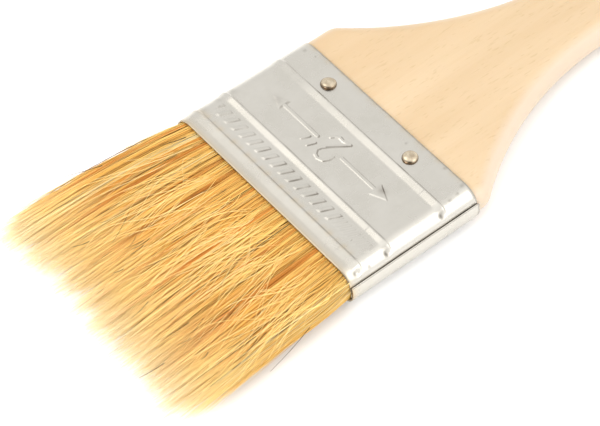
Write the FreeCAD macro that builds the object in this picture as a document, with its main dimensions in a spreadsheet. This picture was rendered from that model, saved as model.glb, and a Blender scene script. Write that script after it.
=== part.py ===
import FreeCAD, Part
import math
import os
import Sketcher

# A two-inch chip brush lying on its back nails, in millimetres.
# X runs across the width, Y along the length towards the hanging hole, Z up through the thickness.
# The origin is under the middle of the whole brush, at the level of the back nails' heads.

DIMENSIONS = {
    "overall_length": 200.0,
    "bristle_free": 40.0,
    "ferrule_length": 30.3,
    "ferrule_width": 50.8,
    "ferrule_thickness": 8.0,
    "sheet_gauge": 0.35,
    "fit_gap": 0.05,
    "lap_end_angle": 25.0,
    "bead_width": 1.9,
    "bead_height": 0.4,
    "bead_half_length": 23.0,
    "mark_height": 0.15,
    "mark_root": 0.15,
    "tick_count": 19,
    "tick_pitch": 2.26,
    "tick_width": 1.3,
    "nail_head_radius": 1.65,
    "nail_head_height": 0.7,
    "nail_shank_radius": 0.75,
    "nail_length": 5.5,
    "nail_point": 1.8,
    "nail_spacing": 23.3,
    "nail_from_rim": 3.9,
    "nail_hole_play": 0.05,
    "tenon_length": 12.0,
    "handle_edge_radius": 3.4,
    "shoulder_radius": 4.0,
    "waist_radius": 71.5,
    "waist_half_width": 8.2,
    "waist_from_rim": 51.2,
    "flare_radius": 150.0,
    "end_radius": 12.5,
    "waist_tilt": 3.2,
    "waist_offset": -0.8,
    "hang_hole_radius": 4.0,
    "hang_hole_chamfer": 0.5,
    "cement_length": 8.0,
    "cement_floor": 2.0,
    "cement_wall": 0.4,
    "plug_width": 40.0,
    "plug_thickness": 1.8,
    "plug_short_of_mouth": 4.0,
    "tip_half_width": 28.2,
    "tip_half_thickness": 3.3,
    "tip_corner_radius": 2.8,
}

BEADS_FROM_MOUTH = {"mouth": 2.6, "middle": 9.7, "handle": 22.7}
TICK_BAND = (5.4, 8.1)      # distances from the bristle mouth
TICK_LEAN = 1.25            # how far a tick leans along X over its length
ARROW_FROM_RIM = 13.6
ARROWS = ((2.6, 12.0), (-4.2, -13.8))    # where each shaft starts and where its head starts
ARROW_SHAFT_HALF = 0.3
ARROW_HEAD_HALF = 1.7
ARROW_HEAD_LENGTH = 3.4
NUMERAL_HEIGHT = 6.4
NUMERAL_WIDTH = 3.4
NUMERAL_LEAN = 0.18         # shift along X for each millimetre of height
NUMERAL_LEFT = 1.7          # X of its lower left corner
NUMERAL_FOOT_FROM_ARROWS = 3.2
NUMERAL_BOWL = (160, -30, 11)            # degrees where the bowl starts and ends, and its points
NUMERAL_NECK = ((0.12, 0.07), (0.32, 0.0))    # as parts of the width and the height
PEN_WIDTH = 0.6
INCH_MARKS = (4.5, 6.1)     # left edges, from the numeral's left edge
INCH_MARK_HEIGHT = 1.6
INCH_MARK_TOP = 0.6
INCH_MARK_FOOT = 0.5
INCH_MARK_SPLAY = 0.2       # how far the top's left edge stands in from the foot's
FRONT_NAILS_MIDDLE = -1.05  # hand-driven, so a little off the centre line
BACK_NAILS_MIDDLE = 3.0
TOLERANCE = 1e-6

Vector = FreeCAD.Vector
doc = FreeCAD.newDocument("ChipBrush")
sheet = doc.addObject("Spreadsheet::Sheet", "dims")
for row, (alias, value) in enumerate(DIMENSIONS.items(), start=1):
    sheet.set(f"A{row}", str(value))
    sheet.setAlias(f"A{row}", alias)
doc.recompute()


def size(alias):
    return float(sheet.get(alias))


def bind(item, **expressions):
    """Bind properties of an object to the sheet; __ in a name stands for a dot."""
    for name, expression in expressions.items():
        item.setExpression(name.replace("__", "."), expression)


MOUTH_Y = size("bristle_free") - size("overall_length") / 2
RIM_Y = MOUTH_Y + size("ferrule_length")
MID_Z = size("ferrule_thickness") / 2 + size("nail_head_height")
OUTER_RADIUS = size("ferrule_thickness") / 2
INNER_RADIUS = OUTER_RADIUS - size("sheet_gauge")
HALF_FLAT = size("ferrule_width") / 2 - OUTER_RADIUS
WOOD_RADIUS = INNER_RADIUS - size("fit_gap")


def new_body(label, place, upside_down=False):
    """A body whose own origin sits at the given place on the brush."""
    body = doc.addObject("PartDesign::Body", label)
    body.Label = label
    turn = FreeCAD.Rotation(Vector(0, 1, 0), 180 if upside_down else 0)
    body.Placement = FreeCAD.Placement(Vector(*place), turn)
    return body


def origin_feature(body, role):
    return next(item for item in body.Origin.OriginFeatures if item.Role == role)


def new_sketch(body, name, role):
    sketch = body.newObject("Sketcher::SketchObject", name)
    sketch.AttachmentSupport = [(origin_feature(body, role), "")]
    sketch.MapMode = "FlatFace"
    return sketch


def end_points(sketch, index, curve):
    """The sketch's numbers for a curve's first and last point: a clockwise arc is stored reversed."""
    return (1, 2) if sketch.getPoint(index, 1).isEqual(curve.StartPoint, TOLERANCE) else (2, 1)


def add_loop(sketch, curves):
    """Add curves that follow one another and close, each joined to the next."""
    ids = list(sketch.addGeometry(curves, False))
    ends = [end_points(sketch, index, curve) for index, curve in zip(ids, curves)]
    for index, here in enumerate(ids):
        following = (index + 1) % len(ids)
        last, first = ends[index][1], ends[following][0]
        sketch.addConstraint(Sketcher.Constraint("Coincident", here, last, ids[following], first))


def polygon(points):
    corners = [Vector(*point, 0) for point in points]
    return [Part.LineSegment(a, b) for a, b in zip(corners, corners[1:] + corners[:1])]


def arc(centre, start, end):
    """The shorter arc about a centre, from start to end, both given as flat vectors."""
    towards = ((start - centre) + (end - centre)).normalize()
    return Part.ArcOfCircle(start, centre + towards * (start - centre).Length, end)


def chain(points, centres):
    """Curves from point to point: an arc about the given centre, or a straight line where it is None."""
    return [arc(centre, a, b) if centre else Part.LineSegment(a, b)
            for centre, a, b in zip(centres, points, points[1:])]


def add_slot(sketch, half_flat, radius, flat_expression, radius_expression):
    """A stadium about the sketch's origin: two flats joined by two half-rounds."""
    up = Vector(0, 0, 1)
    quarter = math.pi / 2
    right = Part.ArcOfCircle(Part.Circle(Vector(half_flat, 0, 0), up, radius), -quarter, quarter)
    left = Part.ArcOfCircle(Part.Circle(Vector(-half_flat, 0, 0), up, radius), quarter, 3 * quarter)
    top = Part.LineSegment(Vector(half_flat, radius, 0), Vector(-half_flat, radius, 0))
    bottom = Part.LineSegment(Vector(-half_flat, -radius, 0), Vector(half_flat, -radius, 0))
    ids = sketch.addGeometry([right, top, left, bottom], False)
    for here, there in zip(ids, ids[1:] + ids[:1]):
        sketch.addConstraint(Sketcher.Constraint("Tangent", here, 2, there, 1))
    sketch.addConstraint(Sketcher.Constraint("Horizontal", ids[1]))
    sketch.addConstraint(Sketcher.Constraint("Symmetric", ids[0], 3, ids[2], 3, -1, 1))
    width = sketch.addConstraint(Sketcher.Constraint("DistanceX", ids[2], 3, ids[0], 3, 2 * half_flat))
    round_end = sketch.addConstraint(Sketcher.Constraint("Radius", ids[0], radius))
    sketch.setExpression(f"Constraints[{width}]", f"2 * ({flat_expression})")
    sketch.setExpression(f"Constraints[{round_end}]", radius_expression)


FLAT_RULE = "dims.ferrule_width / 2 - dims.ferrule_thickness / 2"
OUTER_RULE = "dims.ferrule_thickness / 2"
INNER_RULE = OUTER_RULE + " - dims.sheet_gauge"
WOOD_RULE = INNER_RULE + " - dims.fit_gap"


def pad(body, sketch, name, length_rule, symmetric=False, reverse=False):
    feature = body.newObject("PartDesign::Pad", name)
    feature.Profile = sketch
    feature.Midplane = symmetric
    feature.Reversed = reverse
    bind(feature, Length=length_rule)
    return feature


def pocket(body, sketch, name, length_rule=None, symmetric=False, reverse=False):
    """Cut a sketch away, to a depth from the sheet or, with none, right through."""
    doc.recompute()
    before = body.Shape.Volume
    feature = body.newObject("PartDesign::Pocket", name)
    feature.Profile = sketch
    feature.Midplane = symmetric
    feature.Reversed = reverse
    if length_rule:
        bind(feature, Length=length_rule)
    else:
        feature.Type = "ThroughAll"
    doc.recompute()
    if not body.Shape.Volume < before:
        raise RuntimeError(name + " cut nothing")
    return feature


def mirror(body, name, originals):
    """Repeat features on the other face of the brush."""
    feature = body.newObject("PartDesign::Mirrored", name)
    feature.Originals = originals
    feature.MirrorPlane = (origin_feature(body, "XY_Plane"), [""])
    body.Tip = feature
    return feature


def row_along_x(body, name, originals, length_rule, count_rule):
    feature = body.newObject("PartDesign::LinearPattern", name)
    feature.Originals = originals
    feature.Direction = (origin_feature(body, "X_Axis"), [""])
    bind(feature, Length=length_rule, Occurrences=count_rule)
    body.Tip = feature
    return feature


# ---------------------------------------------------------------- ferrule

def bead_rod(body, name, kind, from_middle, shrink):
    """A round-ended rod just under the face: its top stands out of the sheet as a bead."""
    rise = size("bead_height")
    radius = (rise ** 2 + (size("bead_width") / 2) ** 2) / (2 * rise)
    depth = OUTER_RADIUS - (radius - rise)
    radius = radius - shrink
    half = size("bead_half_length") - shrink
    sketch = new_sketch(body, name + "_outline", "XY_Plane")
    sketch.AttachmentOffset = FreeCAD.Placement(Vector(0, from_middle, depth), FreeCAD.Rotation())
    ends = [Vector(half, 0, 0), Vector(half - radius, radius, 0),
            Vector(radius - half, radius, 0), Vector(-half, 0, 0)]
    add_loop(sketch, [
        arc(Vector(half - radius, 0, 0), ends[0], ends[1]),
        Part.LineSegment(ends[1], ends[2]),
        arc(Vector(radius - half, 0, 0), ends[2], ends[3]),
        Part.LineSegment(ends[3], ends[0]),
    ])
    rod = body.newObject(kind, name)
    rod.Profile = sketch
    rod.ReferenceAxis = (sketch, ["H_Axis"])
    rod.Angle = 360
    return rod


def raised_mark(body, name, loops):
    """Emboss closed outlines on the front face."""
    sketch = new_sketch(body, name + "_outline", "XY_Plane")
    bind(sketch, AttachmentOffset__Base__z=OUTER_RULE + " - dims.mark_root")
    for curves in loops:
        add_loop(sketch, curves)
    return pad(body, sketch, name, "dims.mark_root + dims.mark_height")


def stroke_outline(path, width):
    """The outline of a pen stroke of the given width along a path of points."""
    left, right = [], []
    for index, point in enumerate(path):
        before = path[max(index - 1, 0)]
        after = path[min(index + 1, len(path) - 1)]
        along = Vector(after[0] - before[0], after[1] - before[1], 0).normalize()
        side = Vector(-along.y, along.x, 0) * (width / 2)
        left.append((point[0] + side.x, point[1] + side.y))
        right.append((point[0] - side.x, point[1] - side.y))
    return left + right[::-1]


def numeral_two(height, width):
    """The path of a plain 2: a bowl, a slanting neck and a foot, from its lower left corner."""
    bowl = width / 2
    start, end, count = NUMERAL_BOWL
    path = []
    for index in range(count):
        turn = math.radians(start + (end - start) * index / (count - 1))
        path.append((bowl + bowl * math.cos(turn), height - bowl + bowl * math.sin(turn)))
    for across, up in NUMERAL_NECK:
        path.append((width * across, height * up))
    return path + [(width, 0.0)]


def size_mark(rim_y):
    """The loops of the size mark: an arrow each way, and 2" read from the handle's side."""
    line = rim_y - ARROW_FROM_RIM
    shaft, head = ARROW_SHAFT_HALF, ARROW_HEAD_HALF
    loops = []
    for start, neck in ARROWS:
        tip = neck + math.copysign(ARROW_HEAD_LENGTH, neck)
        loops.append(polygon([(start, line + shaft), (neck, line + shaft), (neck, line + head), (tip, line),
                              (neck, line - head), (neck, line - shaft), (start, line - shaft)]))
    foot = line + NUMERAL_FOOT_FROM_ARROWS

    def written(point):
        return (NUMERAL_LEFT - point[0] - NUMERAL_LEAN * point[1], foot - point[1])

    numeral = stroke_outline(numeral_two(NUMERAL_HEIGHT, NUMERAL_WIDTH), PEN_WIDTH)
    loops.append(polygon([written(p) for p in numeral]))
    low = NUMERAL_HEIGHT - INCH_MARK_HEIGHT
    for start in INCH_MARKS:
        top = start + INCH_MARK_SPLAY
        left_side = [(start, low), (top, NUMERAL_HEIGHT)]
        right_side = [(top + INCH_MARK_TOP, NUMERAL_HEIGHT), (start + INCH_MARK_FOOT, low)]
        loops.append(polygon([written(p) for p in left_side + right_side]))
    return loops


def build_ferrule():
    half_length = size("ferrule_length") / 2
    body = new_body("ferrule", (0, MOUTH_Y + half_length, MID_Z))
    outer = new_sketch(body, "ferrule_outside", "XZ_Plane")
    add_slot(outer, HALF_FLAT, OUTER_RADIUS, FLAT_RULE, OUTER_RULE)
    pad(body, outer, "ferrule_blank", "dims.ferrule_length", symmetric=True)

    # The outer end of the strip wraps from the back face up the right side, one gauge thick at its end.
    gauge = size("sheet_gauge")
    turn = math.radians(size("lap_end_angle"))
    out = Vector(math.cos(turn), math.sin(turn), 0)
    corner = Vector(HALF_FLAT, 0, 0)
    start = corner + Vector(0, -OUTER_RADIUS, 0)
    end = corner + out * (OUTER_RADIUS + gauge)
    rise = end - start
    lap_radius = (rise.x ** 2 + rise.y ** 2) / (2 * rise.y)
    lap_centre = start + Vector(0, lap_radius, 0)
    inside = OUTER_RADIUS - gauge / 2
    inner_start, inner_end = corner + out * inside, corner + Vector(0, -inside, 0)
    lap = new_sketch(body, "lap_section", "XZ_Plane")
    add_loop(lap, [arc(lap_centre, start, end), Part.LineSegment(end, inner_start),
                   arc(corner, inner_start, inner_end), Part.LineSegment(inner_end, start)])
    pad(body, lap, "lap", "dims.ferrule_length", symmetric=True)

    places = {name: distance - half_length for name, distance in BEADS_FROM_MOUTH.items()}
    rods = [bead_rod(body, f"bead_{name}", "PartDesign::Revolution", y, 0) for name, y in places.items()]
    mirror(body, "back_beads", rods)

    low, high = (distance - half_length for distance in TICK_BAND)
    first = -size("tick_pitch") * (size("tick_count") - 1) / 2 - TICK_LEAN / 2
    width = size("tick_width")
    tick = raised_mark(body, "tick", [polygon([
        (first, low), (first + width, low), (first + width + TICK_LEAN, high), (first + TICK_LEAN, high)])])
    row_along_x(body, "ticks", [tick], "dims.tick_pitch * (dims.tick_count - 1)", "dims.tick_count")
    raised_mark(body, "size_mark", size_mark(half_length))

    inner = new_sketch(body, "ferrule_inside", "XZ_Plane")
    add_slot(inner, HALF_FLAT, INNER_RADIUS, FLAT_RULE, INNER_RULE)
    pocket(body, inner, "hollow", symmetric=True)
    grooves = [bead_rod(body, f"groove_{name}", "PartDesign::Groove", y, gauge) for name, y in places.items()]
    mirror(body, "back_grooves", grooves)

    nail_y = half_length - size("nail_from_rim")
    for face, middle, reverse in (("front", FRONT_NAILS_MIDDLE, True), ("back", BACK_NAILS_MIDDLE, False)):
        holes = nail_hole_sketch(body, f"{face}_nail_holes_outline", middle, nail_y)
        pocket(body, holes, f"{face}_nail_holes", reverse=reverse)
    return body


def nail_hole_sketch(body, name, middle, y):
    """Two round holes on the middle plane, where the nails of one face go in."""
    sketch = new_sketch(body, name, "XY_Plane")
    radius = size("nail_shank_radius") + size("nail_hole_play")
    for side in (-1, 1):
        centre = Vector(middle + side * size("nail_spacing") / 2, y, 0)
        circle = sketch.addGeometry(Part.Circle(centre, Vector(0, 0, 1), radius), False)
        rule = sketch.addConstraint(Sketcher.Constraint("Radius", circle, radius))
        sketch.setExpression(f"Constraints[{rule}]", "dims.nail_shank_radius + dims.nail_hole_play")
    return sketch


# ---------------------------------------------------------------- handle

def circle_crossing(first, first_radius, second, second_radius, side):
    """Where two circles cross, on the left (1) or right (-1) of the line between their centres."""
    line = second - first
    gap = line.Length
    along = (gap ** 2 + first_radius ** 2 - second_radius ** 2) / (2 * gap)
    across = math.sqrt(first_radius ** 2 - along ** 2)
    unit = line * (1 / gap)
    return first + unit * along + Vector(-unit.y, unit.x, 0) * (side * across)


def handle_side(side, end_centre, axis, across):
    """One edge of the handle, from the tenon to the round end: its corners and the arcs' centres."""
    half_width = HALF_FLAT + WOOD_RADIUS
    waist = size("waist_radius")
    waist_foot = Vector(size("waist_offset"), 0, 0) + axis * size("waist_from_rim")
    waist_centre = waist_foot + across * (side * (size("waist_half_width") + waist))
    corner = size("shoulder_radius")
    corner_x = side * (half_width - corner)
    drop = math.sqrt((waist + corner) ** 2 - (waist_centre.x - corner_x) ** 2)
    corner_centre = Vector(corner_x, waist_centre.y - drop, 0)
    flare, end = size("flare_radius"), size("end_radius")
    flare_centre = circle_crossing(end_centre, flare - end, waist_centre, flare + waist, -side)
    tenon = Vector(side * half_width, -size("tenon_length"), 0)
    shoulder = Vector(side * half_width, corner_centre.y, 0)
    corner_end = corner_centre + (waist_centre - corner_centre) * (corner / (waist + corner))
    waist_end = waist_centre + (flare_centre - waist_centre) * (waist / (flare + waist))
    flare_end = end_centre + (end_centre - flare_centre).normalize() * end
    corners = [tenon, shoulder, corner_end, waist_end, flare_end]
    return corners, [None, corner_centre, waist_centre, flare_centre]


def build_handle():
    """The waist is shaped on an axis that leans a little from the ferrule's own."""
    body = new_body("handle", (0, RIM_Y, MID_Z))
    tilt = math.radians(size("waist_tilt"))
    axis = Vector(math.sin(tilt), math.cos(tilt), 0)
    across = Vector(math.cos(tilt), -math.sin(tilt), 0)
    end_y = size("overall_length") / 2 - RIM_Y - size("end_radius")
    end_centre = Vector(size("waist_offset"), 0, 0) + axis * (end_y / axis.y)
    right, right_centres = handle_side(1, end_centre, axis, across)
    left, left_centres = handle_side(-1, end_centre, axis, across)
    cap = Part.ArcOfCircle(right[-1], end_centre + axis * size("end_radius"), left[-1])
    outline = new_sketch(body, "handle_outline", "XY_Plane")
    add_loop(outline, chain(right, right_centres) + [cap] + chain(left[::-1], left_centres[::-1])
             + [Part.LineSegment(left[0], right[0])])
    blank = pad(body, outline, "handle_blank", f"2 * ({WOOD_RULE})", symmetric=True)
    doc.recompute()

    rounded = body.newObject("PartDesign::Fillet", "rounded_edges")
    rounded.Base = (blank, long_edges(blank.Shape))
    bind(rounded, Radius="dims.handle_edge_radius")
    doc.recompute()

    hole = new_sketch(body, "hang_hole_outline", "XY_Plane")
    circle = hole.addGeometry(Part.Circle(end_centre, Vector(0, 0, 1), size("hang_hole_radius")), False)
    rule = hole.addConstraint(Sketcher.Constraint("Radius", circle, size("hang_hole_radius")))
    hole.setExpression(f"Constraints[{rule}]", "dims.hang_hole_radius")
    cut = pocket(body, hole, "hang_hole", symmetric=True)
    eased = body.newObject("PartDesign::Chamfer", "hang_hole_edges")
    eased.Base = (cut, hole_edges(cut.Shape, size("hang_hole_radius")))
    bind(eased, Size="dims.hang_hole_chamfer")
    doc.recompute()

    nail_depth = "dims.nail_length - dims.sheet_gauge + 2 * dims.nail_hole_play"
    faces = (("front", FRONT_NAILS_MIDDLE, 1), ("back", BACK_NAILS_MIDDLE, -1))
    for face, middle, side in faces:
        holes = nail_hole_sketch(body, f"{face}_nail_seats_outline", middle, -size("nail_from_rim"))
        bind(holes, AttachmentOffset__Base__z=f"{side} * ({WOOD_RULE})")
        pocket(body, holes, f"{face}_nail_seats", nail_depth, reverse=side < 0)
    return body


def long_edges(shape):
    """Every edge round the front and back faces, apart from the tenon's end."""
    top = shape.BoundBox.ZMax
    return [f"Edge{number}" for number, edge in enumerate(shape.Edges, start=1)
            if abs(abs(edge.CenterOfMass.z) - top) < TOLERANCE
            and edge.BoundBox.YMax > shape.BoundBox.YMin + TOLERANCE]


def hole_edges(shape, radius):
    """The two circles where the hanging hole meets the faces."""
    return [f"Edge{number}" for number, edge in enumerate(shape.Edges, start=1)
            if isinstance(edge.Curve, Part.Circle)
            and abs(edge.Curve.Radius - radius) < TOLERANCE and edge.isClosed()]


# ---------------------------------------------------------------- nails

def build_nails(label, middle, upside_down):
    """A pair of domed nails; the body's origin is where the first head meets the sheet."""
    face = -1 if upside_down else 1
    first = middle - face * size("nail_spacing") / 2
    place = (first, RIM_Y - size("nail_from_rim"), MID_Z + face * OUTER_RADIUS)
    body = new_body(label, place, upside_down)
    head, rise = size("nail_head_radius"), size("nail_head_height")
    shank, length, point = size("nail_shank_radius"), size("nail_length"), size("nail_point")
    dome = (head ** 2 + rise ** 2) / (2 * rise)
    top, brim = Vector(0, rise, 0), Vector(head, 0, 0)
    neck, taper, tip = Vector(shank, 0, 0), Vector(shank, point - length, 0), Vector(0, -length, 0)
    section = new_sketch(body, label + "_section", "XZ_Plane")
    add_loop(section, [arc(Vector(0, rise - dome, 0), top, brim), Part.LineSegment(brim, neck),
                       Part.LineSegment(neck, taper), Part.LineSegment(taper, tip), Part.LineSegment(tip, top)])
    nail = body.newObject("PartDesign::Revolution", label + "_first")
    nail.Profile = section
    nail.ReferenceAxis = (section, ["V_Axis"])
    nail.Angle = 360
    body.AllowCompound = True
    row_along_x(body, label + "_pair", [nail], "dims.nail_spacing", "2")
    return body


# ---------------------------------------------------------------- bristle knot

CEMENT_Y = RIM_Y - size("tenon_length") - size("fit_gap")
ROOT_Y = CEMENT_Y - size("cement_floor")


def build_cement():
    """A shallow tray of set resin across the ferrule, which holds the roots and the spacer."""
    body = new_body("setting_cement", (0, CEMENT_Y, MID_Z))
    outside = new_sketch(body, "cement_outside", "XZ_Plane")
    add_slot(outside, HALF_FLAT, WOOD_RADIUS, FLAT_RULE, WOOD_RULE)
    pad(body, outside, "cement_block", "dims.cement_length")
    doc.recompute()
    inside = new_sketch(body, "cement_inside", "XZ_Plane")
    bind(inside, AttachmentOffset__Base__z="dims.cement_floor")
    wall_rule = WOOD_RULE + " - dims.cement_wall"
    add_slot(inside, HALF_FLAT, WOOD_RADIUS - size("cement_wall"), FLAT_RULE, wall_rule)
    pocket(body, inside, "root_tray", "dims.cement_length - dims.cement_floor", reverse=True)
    return body


def build_plug():
    """The filler strip between the two banks of bristle, from the resin to just inside the mouth."""
    body = new_body("spacer_plug", (0, ROOT_Y, MID_Z))
    section = new_sketch(body, "plug_section", "XZ_Plane")
    radius = size("plug_thickness") / 2
    add_slot(section, size("plug_width") / 2 - radius, radius,
             "dims.plug_width / 2 - dims.plug_thickness / 2", "dims.plug_thickness / 2")
    length = ROOT_Y - MOUTH_Y - size("plug_short_of_mouth")
    pad(body, section, "plug", str(length))
    return body


def bank_section(sketch, half_width, low, high, corner):
    """Half of a flat knot of bristle: square on the inside, round at its two outer corners."""
    outer = [Vector(half_width, high - corner, 0), Vector(half_width - corner, high, 0),
             Vector(corner - half_width, high, 0), Vector(-half_width, high - corner, 0)]
    inner = [Vector(-half_width, low, 0), Vector(half_width, low, 0)]
    add_loop(sketch, [
        arc(Vector(half_width - corner, high - corner, 0), outer[0], outer[1]),
        Part.LineSegment(outer[1], outer[2]),
        arc(Vector(corner - half_width, high - corner, 0), outer[2], outer[3]),
        Part.LineSegment(outer[3], inner[0]),
        Part.LineSegment(inner[0], inner[1]),
        Part.LineSegment(inner[1], outer[0]),
    ])


def build_bank(label, upside_down):
    """A bank of bristle: straight in the ferrule beside the spacer, then flared to the tips."""
    body = new_body(label, (0, ROOT_Y, MID_Z), upside_down)
    gap = size("fit_gap")
    beside_plug = size("plug_thickness") / 2 + gap
    root_high = WOOD_RADIUS - size("cement_wall") - gap
    mouth_high = WOOD_RADIUS
    root_corner = root_high - beside_plug - gap
    mouth_corner = mouth_high - 2 * gap
    mouth = ROOT_Y - MOUTH_Y
    plug_end = mouth - size("plug_short_of_mouth") + gap
    tray_end = size("cement_length") - size("cement_floor")
    root_half = HALF_FLAT + math.sqrt((root_high - root_corner) ** 2 - (beside_plug + gap) ** 2) + root_corner
    stations = [
        (0.0, root_half, beside_plug, root_high, root_corner),
        (tray_end, root_half, beside_plug, root_high, root_corner),
        (plug_end, root_half, beside_plug, root_high, root_corner),
        (mouth, HALF_FLAT + mouth_high - gap, gap, mouth_high, mouth_corner),
        (mouth + size("bristle_free"), size("tip_half_width"), gap, size("tip_half_thickness"),
         size("tip_corner_radius")),
    ]
    sketches = []
    for number, (distance, half_width, low, high, corner) in enumerate(stations):
        sketch = new_sketch(body, f"{label}_section_{number}", "XZ_Plane")
        sketch.AttachmentOffset = FreeCAD.Placement(Vector(0, 0, distance), FreeCAD.Rotation())
        bank_section(sketch, half_width, low, high, corner)
        sketches.append(sketch)
    loft = body.newObject("PartDesign::AdditiveLoft", label + "_loft")
    loft.Profile = sketches[0]
    loft.Sections = sketches[1:]
    loft.Ruled = True
    return body


# ---------------------------------------------------------------- the brush

parts = [
    build_handle(),
    build_ferrule(),
    build_nails("front_nails", FRONT_NAILS_MIDDLE, False),
    build_nails("back_nails", BACK_NAILS_MIDDLE, True),
    build_cement(),
    build_plug(),
    build_bank("front_bristles", False),
    build_bank("back_bristles", True),
]
doc.recompute()

for item in doc.Objects:
    if "Invalid" in item.State or "Error" in item.State:
        raise RuntimeError(f"{item.Label}: {item.State}")
for part in parts:
    if part.Shape.isNull() or not part.Shape.isValid():
        raise RuntimeError(part.Label + " has no valid shape")

os.makedirs("parts", exist_ok=True)
for part in parts:
    part.Shape.exportStep(f"parts/{part.Label}.step")
    box = part.Shape.BoundBox
    print(f"{part.Label}: {len(part.Shape.Solids)} solid(s), {part.Shape.Volume:.1f} mm3, "
          f"x {box.XMin:.2f} {box.XMax:.2f}, y {box.YMin:.2f} {box.YMax:.2f}, z {box.ZMin:.2f} {box.ZMax:.2f}")
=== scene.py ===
import math

import bpy
import numpy as np
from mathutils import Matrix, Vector


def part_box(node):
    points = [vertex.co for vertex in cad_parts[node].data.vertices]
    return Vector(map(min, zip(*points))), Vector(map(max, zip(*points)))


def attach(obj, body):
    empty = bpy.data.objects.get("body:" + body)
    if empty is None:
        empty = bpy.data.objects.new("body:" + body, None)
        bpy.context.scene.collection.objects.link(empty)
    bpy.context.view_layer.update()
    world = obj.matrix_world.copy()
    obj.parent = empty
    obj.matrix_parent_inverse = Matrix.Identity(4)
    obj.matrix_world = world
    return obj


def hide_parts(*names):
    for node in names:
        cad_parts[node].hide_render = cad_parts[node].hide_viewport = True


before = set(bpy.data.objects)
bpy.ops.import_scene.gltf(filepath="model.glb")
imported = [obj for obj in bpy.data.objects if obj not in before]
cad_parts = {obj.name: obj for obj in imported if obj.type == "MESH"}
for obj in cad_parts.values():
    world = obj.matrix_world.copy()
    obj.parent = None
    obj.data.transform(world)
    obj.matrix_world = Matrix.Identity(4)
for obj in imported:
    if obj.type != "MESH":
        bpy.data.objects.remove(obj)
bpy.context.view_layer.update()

# A two-inch chip brush: wooden handle, beaded steel ferrule, blond bristle.
# X runs across the width, Y along the length towards the hanging hole, Z up. Lengths here are in millimetres
# and become metres where a mesh is made.

MM = 0.001
rng = np.random.default_rng(20)


def box_mm(node):
    low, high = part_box(node)
    return np.array(low) / MM, np.array(high) / MM


FERRULE_LOW, FERRULE_HIGH = box_mm("ferrule")
BANK_LOW, BANK_HIGH = box_mm("front_bristles")
NAIL_LOW, NAIL_HIGH = box_mm("front_nails")
BACK_NAIL_LOW, BACK_NAIL_HIGH = box_mm("back_nails")

MOUTH_Y = FERRULE_LOW[1]
RIM_Y = FERRULE_HIGH[1]
TIP_Y = BANK_LOW[1]
ROOT_Y = BANK_HIGH[1]
BEAD_RISE = 0.4     # of the CAD ferrule's beads, which its box takes in
GAUGE = 0.35
HALF_WIDTH = -FERRULE_LOW[0]
MID_Z = (FERRULE_LOW[2] + FERRULE_HIGH[2]) / 2
OUTER_RADIUS = (FERRULE_HIGH[2] - FERRULE_LOW[2]) / 2 - BEAD_RISE
HALF_FLAT = HALF_WIDTH - OUTER_RADIUS
INNER_RADIUS = OUTER_RADIUS - GAUGE


# ---------------------------------------------------------------- mesh and node helpers

def make_mesh(name, points, quads, triangles=()):
    """A smooth object from points in millimetres and index arrays of quads and triangles."""
    quads = np.asarray(quads, dtype=np.int32).reshape(-1, 4)
    triangles = np.asarray(triangles, dtype=np.int32).reshape(-1, 3)
    corners = np.concatenate([quads.ravel(), triangles.ravel()])
    sizes = np.concatenate([np.full(len(quads), 4), np.full(len(triangles), 3)])
    starts = np.concatenate([[0], np.cumsum(sizes)[:-1]])
    mesh = bpy.data.meshes.new(name)
    mesh.vertices.add(len(points))
    mesh.vertices.foreach_set("co", (np.asarray(points) * MM).astype(np.float32).ravel())
    mesh.loops.add(len(corners))
    mesh.loops.foreach_set("vertex_index", corners.astype(np.int32))
    mesh.polygons.add(len(sizes))
    mesh.polygons.foreach_set("loop_start", starts.astype(np.int32))
    mesh.polygons.foreach_set("loop_total", sizes.astype(np.int32))
    mesh.polygons.foreach_set("use_smooth", np.full(len(sizes), True))
    mesh.update(calc_edges=True)
    mesh.validate()
    piece = bpy.data.objects.new(name, mesh)
    bpy.context.scene.collection.objects.link(piece)
    return piece


def add_attribute(piece, name, values):
    layer = piece.data.attributes.new(name, "FLOAT", "POINT")
    layer.data.foreach_set("value", np.asarray(values, dtype=np.float32).ravel())


def finish_piece(piece, material, slot, *nodes):
    """Give a piece its material and its body, and hide the CAD nodes it stands for. The slot is not used."""
    piece.data.materials.clear()
    piece.data.materials.append(material)
    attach(piece, "root")
    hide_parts(*nodes)


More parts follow.
